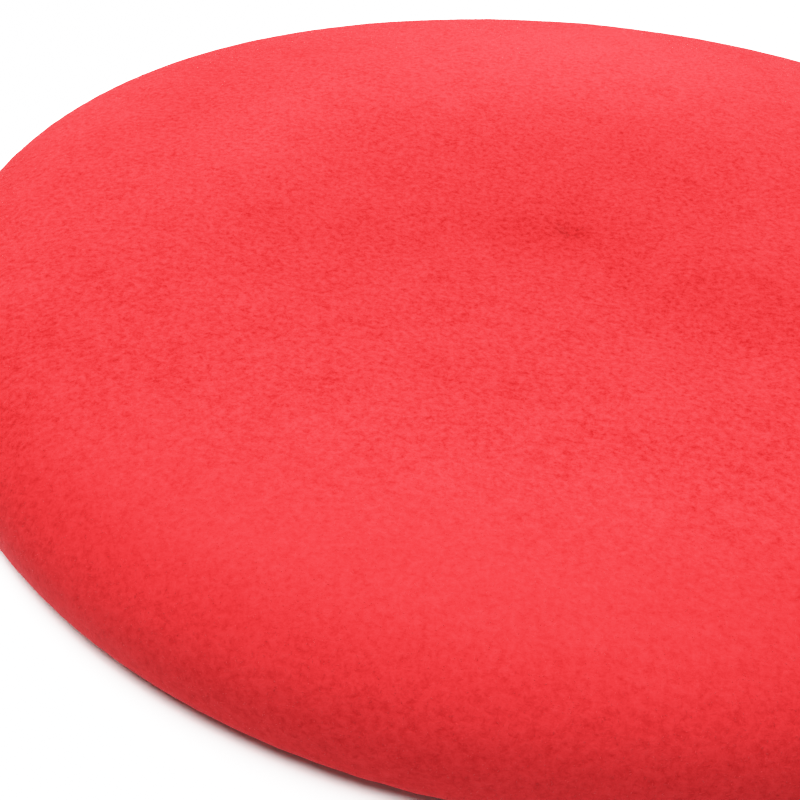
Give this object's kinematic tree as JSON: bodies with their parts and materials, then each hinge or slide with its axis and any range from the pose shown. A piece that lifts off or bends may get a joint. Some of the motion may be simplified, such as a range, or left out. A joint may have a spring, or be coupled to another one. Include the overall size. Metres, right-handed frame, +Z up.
{
  "type": "beret",
  "caption": "Stalkless scarlet wool felt beret lying flat, with a leather-bound head opening, a drawcord, a satin lining, vents and a badge stiffener.",
  "frame": {"origin": "centre of the beret's bounding box at the surface it lies on", "axes": "+Z up out of the crown, -Y the wearer's front, +X the wearer's left"},
  "size_m": [0.28, 0.28, 0.0222],
  "materials": {
    "felt": "milled wool felt with a short brushed nap",
    "satin": "black lining satin",
    "leather": "thin black binding leather, semi-matt",
    "cord": "braided black cotton",
    "buckram": "stiffened buckram",
    "enamel": "black enamelled brass",
    "woven_label": "plain woven tape, blank",
    "thread": "spun polyester thread"
  },
  "bodies": {
    "beret": {"felt_crown": "felt", "lining_tip": "satin", "lining_side": "satin", "sweatband": "leather", "drawcord": "cord", "drawcord_knot": "cord", "badge_stiffener": "buckram", "vent_eyelet_front": "enamel", "vent_eyelet_rear": "enamel", "vent_washer_front": "enamel", "vent_washer_rear": "enamel", "maker_label": "woven_label", "binding_thread_outer": "thread", "binding_thread_inner": "thread", "lining_seam_thread": "thread"},
    "size_label": {"size_label": "woven_label"}
  },
  "joints": [
    {"name": "size_label_flap", "type": "hinge", "parent": "beret", "child": "size_label", "pos_m": [0.0893, 0, 0.0155], "axis": [0, 1, 0], "range_deg": [0, 75]}
  ]
}
